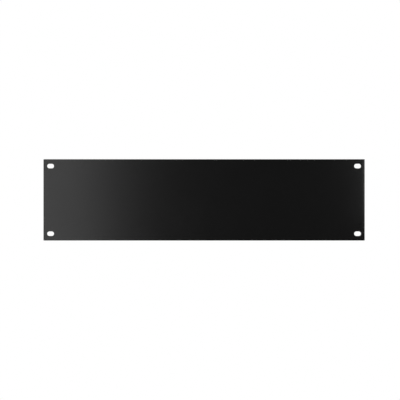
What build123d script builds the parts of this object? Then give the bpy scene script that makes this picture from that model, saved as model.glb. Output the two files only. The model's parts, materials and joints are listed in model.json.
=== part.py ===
from build123d import *
import os

# Rack blanking panel: one flat plate of sheet steel, powder coated black, that
# closes off unused height at the front of a 19-inch rack. It has no folds.
# A slot near each corner takes one of the four screws that hold it.
#
# The origin is the centre of the four slots on the rear face, which lies on the
# rack's rails in the plane Y = 0. The front faces -Y, +X runs across the rack
# and +Z is up. Every size is in millimetres.

# Plate
panel_width = 482.6  # across the rack, the nominal 19 inches
panel_height = 122.2
sheet_thickness = 2.0
corner_radius = 0.8  # left at each corner by the blanking die

# Slots, which lie flat so that the screws can shift across the rack
slot_width = 6.8  # clears an M6 screw
slot_straight = 3.5  # between the centres of a slot's two round ends
slot_from_side = 10.7  # slot centre to the panel's side edge
slot_from_top = 10.3  # slot centre to the panel's top or bottom edge

# Rounding of the edges under the coating
front_rim_radius = 0.35
rear_rim_radius = 0.2
slot_front_radius = 0.25
slot_rear_radius = 0.15

# Distances between slot centres, across and up the rack
slot_pitch_across = panel_width - 2 * slot_from_side
slot_pitch_up = panel_height - 2 * slot_from_top


def plate_outline():
    """The panel's rectangle with its four small corner radii, on the rear face."""
    with BuildSketch(Plane.XZ) as outline:
        RectangleRounded(panel_width, panel_height, corner_radius)
    return outline.sketch


def slot_outlines():
    """The four slots, one near each corner of the panel, on the rear face."""
    with BuildSketch(Plane.XZ) as outlines:
        with GridLocations(slot_pitch_across, slot_pitch_up, 2, 2):
            SlotCenterToCenter(slot_straight, slot_width)
    return outlines.sketch


def punched_plate():
    """The plate as punched, with sharp edges: its outline less the slots."""
    plate = extrude(plate_outline(), amount=sheet_thickness)
    slugs = extrude(slot_outlines(), amount=sheet_thickness)
    return plate - slugs


def round_rim(plate, face_index, radius):
    """Rounds the outer edge of the front face (index 0) or the rear face (-1)."""
    face = plate.faces().sort_by(Axis.Y)[face_index]
    return fillet(face.outer_wire().edges(), radius)


def round_slot_mouths(plate, face_index, radius):
    """Rounds every slot's edge on the front face (index 0) or the rear face (-1)."""
    face = plate.faces().sort_by(Axis.Y)[face_index]
    mouths = [edge for wire in face.inner_wires() for edge in wire.edges()]
    return fillet(mouths, radius)


def make_panel():
    """The finished panel: punched, then its edges rounded on both faces."""
    front = 0
    rear = -1
    panel = punched_plate()
    panel = round_rim(panel, front, front_rim_radius)
    panel = round_rim(panel, rear, rear_rim_radius)
    panel = round_slot_mouths(panel, front, slot_front_radius)
    panel = round_slot_mouths(panel, rear, slot_rear_radius)
    return panel


os.makedirs("parts", exist_ok=True)
export_step(make_panel(), "parts/blanking_panel.step")
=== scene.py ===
import itertools
import json
import math

import bmesh
import bpy
from mathutils import Matrix, Vector


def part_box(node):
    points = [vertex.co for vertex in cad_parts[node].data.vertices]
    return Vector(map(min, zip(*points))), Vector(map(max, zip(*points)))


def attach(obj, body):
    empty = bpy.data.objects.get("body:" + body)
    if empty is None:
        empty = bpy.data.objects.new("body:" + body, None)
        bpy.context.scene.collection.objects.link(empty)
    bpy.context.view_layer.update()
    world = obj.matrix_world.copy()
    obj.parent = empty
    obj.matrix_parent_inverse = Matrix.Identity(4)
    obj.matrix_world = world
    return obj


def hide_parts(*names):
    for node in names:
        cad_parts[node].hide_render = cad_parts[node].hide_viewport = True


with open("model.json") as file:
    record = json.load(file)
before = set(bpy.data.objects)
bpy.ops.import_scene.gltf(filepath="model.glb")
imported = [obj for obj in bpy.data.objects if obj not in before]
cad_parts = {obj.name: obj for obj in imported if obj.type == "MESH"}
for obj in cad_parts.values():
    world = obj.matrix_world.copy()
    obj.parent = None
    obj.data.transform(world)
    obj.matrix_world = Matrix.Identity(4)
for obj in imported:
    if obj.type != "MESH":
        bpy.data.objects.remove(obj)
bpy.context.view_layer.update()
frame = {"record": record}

# A black rack blanking panel, seen square-on from the front and held up by its
# slots above a pale floor. Lengths are in metres: +X to the right, +Y away from
# the camera into the rack, +Z up. The panel's rear face lies in the plane Y = 0.

MM = 0.001

# The panel's sizes, read from the part
PANEL = "blanking_panel"
PANEL_LOW, PANEL_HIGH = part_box(PANEL)
PANEL_MIDDLE = (PANEL_LOW + PANEL_HIGH) / 2
PANEL_SIZE = PANEL_HIGH - PANEL_LOW
SLOTS = {mount["name"]: mount for mount in frame["record"]["mounts"]}["rack_slots"]
SLOT_LENGTH = SLOTS["dims"]["slot_length_mm"] * MM
SLOT_HEIGHT = 2 * SLOTS["dims"]["hole_r_mm"] * MM
SLOT_PITCH_X = SLOTS["dims"]["spacing_x_mm"] * MM
SLOT_PITCH_Z = SLOTS["dims"]["spacing_y_mm"] * MM

# The rounding that the punched and coated edges have
CORNER_RADIUS = 0.8 * MM
FRONT_RIM = 0.35 * MM
REAR_RIM = 0.2 * MM
SLOT_FRONT_RIM = 0.25 * MM
SLOT_REAR_RIM = 0.15 * MM

# Beside its punched edges the front sinks a little: over how wide a band, and by
# how much where the band meets the rounding. Both are chosen to suit the shine.
EDGE_ROLL_WIDTH = 4.0 * MM
EDGE_ROLL_DEPTH = 0.13 * MM
SLOT_ROLL_WIDTH = 0.4 * MM
SLOT_ROLL_DEPTH = 0.01 * MM

# How finely the edges are drawn, and what counts as the same place
CORNER_STEPS = 8
SLOT_CORNER_STEPS = 16
RIM_STEPS = 5
EDGE_ROLL_STEPS = 6
SLOT_ROLL_STEPS = 2
LEAST_CORNER_RADIUS = 0.4 * MM
SAME_PLACE = 0.001 * MM

# Lines on the flat faces that mark off a small field round each slot, given as
# the axis that they cross and their distance from the panel's middle
X_AXIS, Z_AXIS = 0, 2
FIELD_LINES = (
    (X_AXIS, SLOT_PITCH_X - PANEL_SIZE.x / 2),
    (Z_AXIS, SLOT_PITCH_Z - PANEL_SIZE.z / 2),
)

# The photograph's frame, and where the panel lies in it
PICTURE_PX = 400
PANEL_CENTRE_PX = (204.09, 199.89)
PANEL_WIDTH_PX = 321.3
CAMERA_DISTANCE = 2.5
SENSOR_MM = 36.0

# The studio. A brightness of 1 is that of white paper in plain light.
AMBIENT = 0.56
SUN_LEVEL = 0.56
SUN_SOFTNESS = math.radians(35)
SUN_FROM = Vector((-0.3, -0.5, 1.0))
FLOOR_DROP = 0.45
FLOOR_FRONT = -0.3
FLOOR_BACK = 1.2
FLOOR_HALF_WIDTH = 1.0
FLOOR_CENTRE = Vector((0.1, 0.35, 0))  # where it shows its own shade, in full
FLOOR_REACH = Vector((0.85, 0.6, 1))  # where it has faded into the white
FLOOR_FADE = 0.4  # it fades where its gradient is below this
FLOOR_GREY = 0.9
# The dark walls' grey, seen only in the panel's shine: a painted dark reflection.
REFLECTED_SHADE_GREY = 0.01
MATT_ROUGHNESS = 0.9
DARK_WALL_DISTANCE = 2.8
DARK_WALL_SIZE = (24.0, 16.0)
# Each softbox: its place, what it points at, its width and height, its brightness
FRONT_SOFTBOX = ((-0.345, -0.8, 0.0), (-0.32, 0, 0), (0.28, 1.2), 1.61)
REAR_SOFTBOX = ((0.345, 0.8, 0.0), (0.32, 0, 0), (0.28, 1.2), 1.61)
EDGE_SOFTBOX = ((0.303, -0.15, 0.1), (0.25, 0, 0.06), (0.05, 0.26), 3.0)

# The coat
COAT_IOR = 1.5
COAT_DARK = (0.0045, 0.0045, 0.0045)
COAT_LIGHT = (0.0055, 0.0055, 0.0055)
COAT_ROUGHNESS = (0.255, 0.27)
NOISE_LOW = 0.3  # a noise pattern mostly lies between this
NOISE_HIGH = 0.7  # and this
PIGMENT_RANGE = (0.35, 0.65)  # the part of its pattern that goes from dark to light
PIGMENT_SIZE = 0.6 * MM
SHINE_SIZE = 45.0 * MM
WAVE_SIZE = 140.0 * MM
WAVE_DEPTH = 0.1 * MM
PEEL_SIZE = 2.2 * MM
PEEL_DEPTH = 0.04 * MM
GRAIN_SIZE = 0.3 * MM
GRAIN_DEPTH = 0.002 * MM


def link(name, data):
    """Puts a new object into the scene."""
    made = bpy.data.objects.new(name, data)
    bpy.context.scene.collection.objects.link(made)
    return made


def draw_rectangle(bm, place):
    """Draws a flat rectangle. Its place is a matrix that sizes and turns a unit square."""
    half_side = 0.5
    made = bmesh.ops.create_grid(bm, x_segments=1, y_segments=1, size=half_side, matrix=place)
    return made["verts"]


def upright(middle, width, height):
    """The place of a rectangle that stands across the camera's view."""
    turn = Matrix.Rotation(math.radians(90), 4, "X")
    size = Matrix.Diagonal((width, height, 1, 1))
    return Matrix.Translation(middle) @ turn @ size


# The panel's mesh


def added_face(bm, old_faces):
    """The face that wasn't there before."""
    return next(face for face in bm.faces if face not in old_faces)


def draw_ring(bm, loop, inward, depth):
    """Draws a ring of edges along a loop, inward into the sheet, at a depth in Y."""
    shift = inward * loop["sheet_side"]
    width = loop["width"] + 2 * shift
    height = loop["height"] + 2 * shift
    old_faces = set(bm.faces)
    corners = draw_rectangle(bm, upright((loop["x"], depth, loop["z"]), width, height))
    bmesh.ops.bevel(
        bm,
        geom=corners,
        offset=max(loop["radius"] + shift, LEAST_CORNER_RADIUS),
        offset_type="OFFSET",
        segments=loop["steps"],
        profile=0.5,
        affect="VERTICES",
        material=-1,
    )
    doubled = added_face(bm, old_faces)
    bmesh.ops.remove_doubles(bm, verts=doubled.verts[:], dist=SAME_PLACE)
    face = added_face(bm, old_faces)
    ring = face.edges[:]
    bmesh.ops.delete(bm, geom=[face], context="FACES_ONLY")
    return ring


def edge_profile(loop):
    """Steps over one edge of the sheet, from its rear face to its front face.

    Each step is how far it lies inward from the wall, and its depth in Y."""
    rear, front = PANEL_HIGH.y, PANEL_LOW.y
    rear_radius, front_radius = loop["rear_rim"], loop["front_rim"]
    turns = [math.radians(90) * step / RIM_STEPS for step in range(RIM_STEPS + 1)]
    steps = []
    for turn in turns:
        inward = rear_radius * (1 - math.sin(turn))
        steps.append((inward, rear - rear_radius * (1 - math.cos(turn))))
    for turn in turns:
        inward = front_radius * (1 - math.cos(turn))
        drop = loop["roll_depth"] + front_radius * (1 - math.sin(turn))
        steps.append((inward, front + drop))
    for step in range(1, loop["roll_steps"] + 1):
        share = step / loop["roll_steps"]
        drop = loop["roll_depth"] * (1 - share) ** 2
        steps.append((front_radius + loop["roll_width"] * share, front + drop))
    return steps


def draw_wall(bm, loop):
    """Skins one wall of the sheet with its edges. Gives its rear and front rings."""
    rings = [draw_ring(bm, loop, inward, depth) for inward, depth in edge_profile(loop)]
    for ring, next_ring in zip(rings, rings[1:]):
        bmesh.ops.bridge_loops(bm, edges=ring + next_ring)
    return rings[0], rings[-1]


def sheet_loops():
    """The panel's outer edge and its four slots, as rectangles with round corners."""
    edge = {
        "x": PANEL_MIDDLE.x,
        "z": PANEL_MIDDLE.z,
        "width": PANEL_SIZE.x,
        "height": PANEL_SIZE.z,
        "radius": CORNER_RADIUS,
        "sheet_side": -1,  # the sheet lies inside this loop
        "steps": CORNER_STEPS,
        "rear_rim": REAR_RIM,
        "front_rim": FRONT_RIM,
        "roll_width": EDGE_ROLL_WIDTH,
        "roll_depth": EDGE_ROLL_DEPTH,
        "roll_steps": EDGE_ROLL_STEPS,
    }
    slot = {
        "width": SLOT_LENGTH,
        "height": SLOT_HEIGHT,
        "radius": SLOT_HEIGHT / 2,
        "sheet_side": 1,  # the sheet lies outside this loop
        "steps": SLOT_CORNER_STEPS,
        "rear_rim": SLOT_REAR_RIM,
        "front_rim": SLOT_FRONT_RIM,
        "roll_width": SLOT_ROLL_WIDTH,
        "roll_depth": SLOT_ROLL_DEPTH,
        "roll_steps": SLOT_ROLL_STEPS,
    }
    middle_x, _, middle_z = SLOTS["pos_m"]
    loops = [edge]
    for across in (-SLOT_PITCH_X / 2, SLOT_PITCH_X / 2):
        for up in (-SLOT_PITCH_Z / 2, SLOT_PITCH_Z / 2):
            loops.append({**slot, "x": middle_x + across, "z": middle_z + up})
    return loops


def flat_edges(bm, depth):
    """The edges that lie in the flat face at a depth in Y."""
    return [
        edge
        for edge in bm.edges
        if all(abs(vert.co.y - depth) < SAME_PLACE for vert in edge.verts)
    ]


def is_wall_edge(edge, depth):
    """True for an edge where a flat face at a depth in Y ends."""
    corners = [vert for face in edge.link_faces for vert in face.verts]
    return any(abs(vert.co.y - depth) > SAME_PLACE for vert in corners)


def is_field_line(edge):
    """True for an edge along one of the field lines."""
    ends = [vert.co - PANEL_MIDDLE for vert in edge.verts]
    return any(
        all(abs(end[axis] - place) < SAME_PLACE for end in ends)
        for axis, distance in FIELD_LINES
        for place in (-distance, distance)
    )


def draw_field_lines(bm):
    """Cuts the filled sheet along the field lines, then clears its flat faces."""
    for axis, distance in FIELD_LINES:
        across = Vector((0, 0, 0))
        across[axis] = 1
        for side in (-distance, distance):
            bmesh.ops.bisect_plane(
                bm,
                geom=bm.verts[:] + bm.edges[:] + bm.faces[:],
                dist=SAME_PLACE,
                plane_co=PANEL_MIDDLE + across * side,
                plane_no=across,
            )
    for depth in (PANEL_LOW.y, PANEL_HIGH.y):
        spare = [
            edge
            for edge in flat_edges(bm, depth)
            if not is_wall_edge(edge, depth) and not is_field_line(edge)
        ]
        bmesh.ops.delete(bm, geom=spare, context="EDGES_FACES")
    passed = [vert for vert in bm.verts if len(vert.link_edges) == 2]
    bmesh.ops.dissolve_verts(bm, verts=passed)


def bands_at(place, distance):
    """The bands that meet at a place: 0 between a pair of lines, -1 and 1 beyond it."""
    side = 1 if place > 0 else -1
    if abs(abs(place) - distance) < SAME_PLACE:
        return [0, side]
    return [side if abs(place) > distance else 0]


def fill_fields(bm, depth):
    """Fills a flat face: a fan of triangles round each slot, and rectangles between."""
    fields = {}
    for edge in flat_edges(bm, depth):
        middle = (edge.verts[0].co + edge.verts[1].co) / 2 - PANEL_MIDDLE
        bands = [bands_at(middle[axis], distance) for axis, distance in FIELD_LINES]
        for field in itertools.product(*bands):
            fields.setdefault(field, []).append(edge)
    for (across, up), border in fields.items():
        if across and up:
            bmesh.ops.triangle_fill(bm, use_beauty=True, edges=border)
        else:
            bmesh.ops.edgeloop_fill(bm, edges=border)


def make_panel():
    """The coated sheet: its walls and rims first, and then its two flat faces."""
    bm = bmesh.new()
    walls = [draw_wall(bm, loop) for loop in sheet_loops()]
    for rings in zip(*walls):
        edges = [edge for ring in rings for edge in ring]
        bmesh.ops.triangle_fill(bm, use_beauty=False, edges=edges)
    draw_field_lines(bm)
    for depth in (PANEL_LOW.y, PANEL_HIGH.y):
        fill_fields(bm, depth)
    bmesh.ops.recalc_face_normals(bm, faces=bm.faces)
    for face in bm.faces:
        face.smooth = True
    mesh = bpy.data.meshes.new("coated_panel")
    bm.to_mesh(mesh)
    bm.free()
    panel = link("coated_panel", mesh)
    shading = panel.modifiers.new("flat faces stay flat", "WEIGHTED_NORMAL")
    shading.mode = "FACE_AREA"
    return panel


# The coat


def wire(tree, source, target):
    """Joins an output socket to an input socket."""
    tree.links.new(source, target)


def noise(tree, place, size, detail):
    """A noise pattern whose lumps are about as wide as size, in metres."""
    made = tree.nodes.new("ShaderNodeTexNoise")
    made.inputs["Scale"].default_value = 1 / size
    made.inputs["Detail"].default_value = detail
    wire(tree, place, made.inputs["Vector"])
    return made.outputs["Fac"]


def relief(tree, height, depth, below=None):
    """Raises a surface by a pattern of the given depth, on top of another relief."""
    made = tree.nodes.new("ShaderNodeBump")
    made.inputs["Strength"].default_value = 1.0
    made.inputs["Distance"].default_value = depth
    wire(tree, height, made.inputs["Height"])
    if below is not None:
        wire(tree, below, made.inputs["Normal"])
    return made.outputs["Normal"]


def spread(tree, pattern, low, high):
    """Turns a pattern into a number from low to high."""
    made = tree.nodes.new("ShaderNodeMapRange")
    made.inputs["From Min"].default_value = NOISE_LOW
    made.inputs["From Max"].default_value = NOISE_HIGH
    made.inputs["To Min"].default_value = low
    made.inputs["To Max"].default_value = high
    wire(tree, pattern, made.inputs["Value"])
    return made.outputs["Result"]


def black_powder_coat():
    """Satin black powder coat: a hard skin with a fine orange peel."""
    material = bpy.data.materials.new("black_powder_coat")
    material.use_nodes = True
    tree = material.node_tree
    coat = tree.nodes["Principled BSDF"]
    coat.inputs["IOR"].default_value = COAT_IOR
    place = tree.nodes.new("ShaderNodeTexCoord").outputs["Object"]

    pigment = tree.nodes.new("ShaderNodeValToRGB")
    stops = zip(pigment.color_ramp.elements, PIGMENT_RANGE, (COAT_DARK, COAT_LIGHT))
    for stop, position, colour in stops:
        stop.position = position
        stop.color = (*colour, 1)
    wire(tree, noise(tree, place, PIGMENT_SIZE, 2), pigment.inputs["Fac"])
    wire(tree, pigment.outputs["Color"], coat.inputs["Base Color"])

    shine = spread(tree, noise(tree, place, SHINE_SIZE, 1), *COAT_ROUGHNESS)
    wire(tree, shine, coat.inputs["Roughness"])

    waves = relief(tree, noise(tree, place, WAVE_SIZE, 0), WAVE_DEPTH)
    peel = relief(tree, noise(tree, place, PEEL_SIZE, 1), PEEL_DEPTH, waves)
    grain = relief(tree, noise(tree, place, GRAIN_SIZE, 1), GRAIN_DEPTH, peel)
    wire(tree, grain, coat.inputs["Normal"])
    return material


# The studio


def seen_directly(tree):
    """1 for what the camera sees itself, in a shine or through something clear."""
    rays = tree.nodes.new("ShaderNodeLightPath").outputs
    seen = rays["Is Camera Ray"]
    for ray in ("Is Glossy Ray", "Is Transmission Ray"):
        either = tree.nodes.new("ShaderNodeMath")
        either.operation = "MAXIMUM"
        wire(tree, seen, either.inputs[0])
        wire(tree, rays[ray], either.inputs[1])
        seen = either.outputs["Value"]
    return seen


def white_surroundings():
    """A white world, which lights the object at only part of that brightness."""
    world = bpy.data.worlds.new("white_surroundings")
    world.use_nodes = True
    tree = world.node_tree
    strength = tree.nodes.new("ShaderNodeMapRange")
    strength.inputs["To Min"].default_value = AMBIENT
    strength.inputs["To Max"].default_value = 1.0
    wire(tree, seen_directly(tree), strength.inputs["Value"])
    sky = tree.nodes["Background"]
    sky.inputs["Color"].default_value = (1, 1, 1, 1)
    wire(tree, strength.outputs["Result"], sky.inputs["Strength"])
    bpy.context.scene.world = world


def plain_finish(name, grey):
    """One even matt colour, for what only surrounds the object."""
    material = bpy.data.materials.new(name)
    material.use_nodes = True
    shader = material.node_tree.nodes["Principled BSDF"]
    shader.inputs["Base Color"].default_value = (grey, grey, grey, 1)
    shader.inputs["Roughness"].default_value = MATT_ROUGHNESS
    return material


def seamless_floor():
    """A pale matt floor that fades into the white surroundings before its edges."""
    material = plain_finish("pale_floor", FLOOR_GREY)
    tree = material.node_tree
    place = tree.nodes.new("ShaderNodeMapping")
    place.vector_type = "TEXTURE"
    place.inputs["Location"].default_value = FLOOR_CENTRE + Vector((0, 0, -FLOOR_DROP))
    place.inputs["Scale"].default_value = FLOOR_REACH
    wire(tree, tree.nodes.new("ShaderNodeTexCoord").outputs["Object"], place.inputs["Vector"])
    middle = tree.nodes.new("ShaderNodeTexGradient")
    middle.gradient_type = "QUADRATIC_SPHERE"
    wire(tree, place.outputs["Vector"], middle.inputs["Vector"])
    white = tree.nodes.new("ShaderNodeEmission")
    both = tree.nodes.new("ShaderNodeMixShader")
    shown = tree.nodes.new("ShaderNodeMapRange")
    shown.interpolation_type = "SMOOTHSTEP"
    shown.inputs["From Max"].default_value = FLOOR_FADE
    wire(tree, middle.outputs["Fac"], shown.inputs["Value"])
    wire(tree, shown.outputs["Result"], both.inputs["Fac"])
    wire(tree, white.outputs["Emission"], both.inputs[1])
    wire(tree, tree.nodes["Principled BSDF"].outputs["BSDF"], both.inputs[2])
    wire(tree, both.outputs["Shader"], tree.nodes["Material Output"].inputs["Surface"])
    return material


def make_sheet(name, place, finish):
    """A flat rectangle that belongs to the studio."""
    bm = bmesh.new()
    draw_rectangle(bm, place)
    mesh = bpy.data.meshes.new(name)
    bm.to_mesh(mesh)
    bm.free()
    mesh.materials.append(finish)
    sheet = link(name, mesh)
    return sheet


def make_floor():
    """A pale floor below the held panel."""
    middle = (FLOOR_FRONT + FLOOR_BACK) / 2
    size = Matrix.Diagonal((2 * FLOOR_HALF_WIDTH, FLOOR_BACK - FLOOR_FRONT, 1, 1))
    place = Matrix.Translation((PANEL_MIDDLE.x, middle, -FLOOR_DROP))
    make_sheet("floor", place @ size, seamless_floor())


def make_dark_walls():
    """Dark sheets at the ends of the studio, before and behind the panel. Only shine shows
    them: they paint a dark reflection into the panel.
    """
    # Their grey is a painted dark reflection: camera, diffuse and shadow rays pass them by.
    reflected_shade = plain_finish("painted_dark_reflection", REFLECTED_SHADE_GREY)
    for name, depth in (("front_wall", -DARK_WALL_DISTANCE), ("rear_wall", DARK_WALL_DISTANCE)):
        place = upright((PANEL_MIDDLE.x, depth, 0), *DARK_WALL_SIZE)
        wall = make_sheet(name, place, reflected_shade)
        wall.visible_camera = False
        wall.visible_diffuse = False
        wall.visible_shadow = False


def aim(lamp, target):
    """Turns a lamp towards a point."""
    lamp.rotation_euler = (target - lamp.location).to_track_quat("-Z", "Y").to_euler()


def softbox(name, place, target, size, brightness):
    """A soft lamp whose face is as bright as brightness times white paper."""
    data = bpy.data.lights.new(name, "AREA")
    data.shape = "RECTANGLE"
    data.size, data.size_y = size
    data.energy = brightness * math.pi * size[0] * size[1]
    lamp = link(name, data)
    lamp.location = place
    aim(lamp, Vector(target))
    lamp.visible_camera = False


def sun():
    """Broad light from above, in front and a little to the left."""
    data = bpy.data.lights.new("overhead_light", "SUN")
    data.energy = SUN_LEVEL * math.pi
    data.angle = SUN_SOFTNESS
    lamp = link("overhead_light", data)
    lamp.location = SUN_FROM
    aim(lamp, Vector((0, 0, 0)))


def make_camera():
    """The photograph's view: square-on, with the panel where it lies in the frame."""
    metres_per_px = PANEL_SIZE.x / PANEL_WIDTH_PX
    centre_px = PICTURE_PX / 2
    data = bpy.data.cameras.new("camera")
    data.sensor_width = SENSOR_MM
    data.lens = SENSOR_MM * CAMERA_DISTANCE / (PICTURE_PX * metres_per_px)
    camera = link("camera", data)
    right = (PANEL_CENTRE_PX[0] - centre_px) * metres_per_px
    down = (PANEL_CENTRE_PX[1] - centre_px) * metres_per_px
    front = PANEL_LOW.y
    camera.location = (PANEL_MIDDLE.x - right, front - CAMERA_DISTANCE, PANEL_MIDDLE.z + down)
    camera.rotation_euler = (math.radians(90), 0, 0)
    bpy.context.scene.camera = camera


panel = make_panel()
panel.data.materials.append(black_powder_coat())
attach(panel, "root")
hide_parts(PANEL)

white_surroundings()
make_floor()
make_dark_walls()
softbox("front_softbox", *FRONT_SOFTBOX)
softbox("rear_softbox", *REAR_SOFTBOX)
softbox("edge_softbox", *EDGE_SOFTBOX)
sun()
make_camera()
bpy.context.scene.view_settings.view_transform = "Standard"
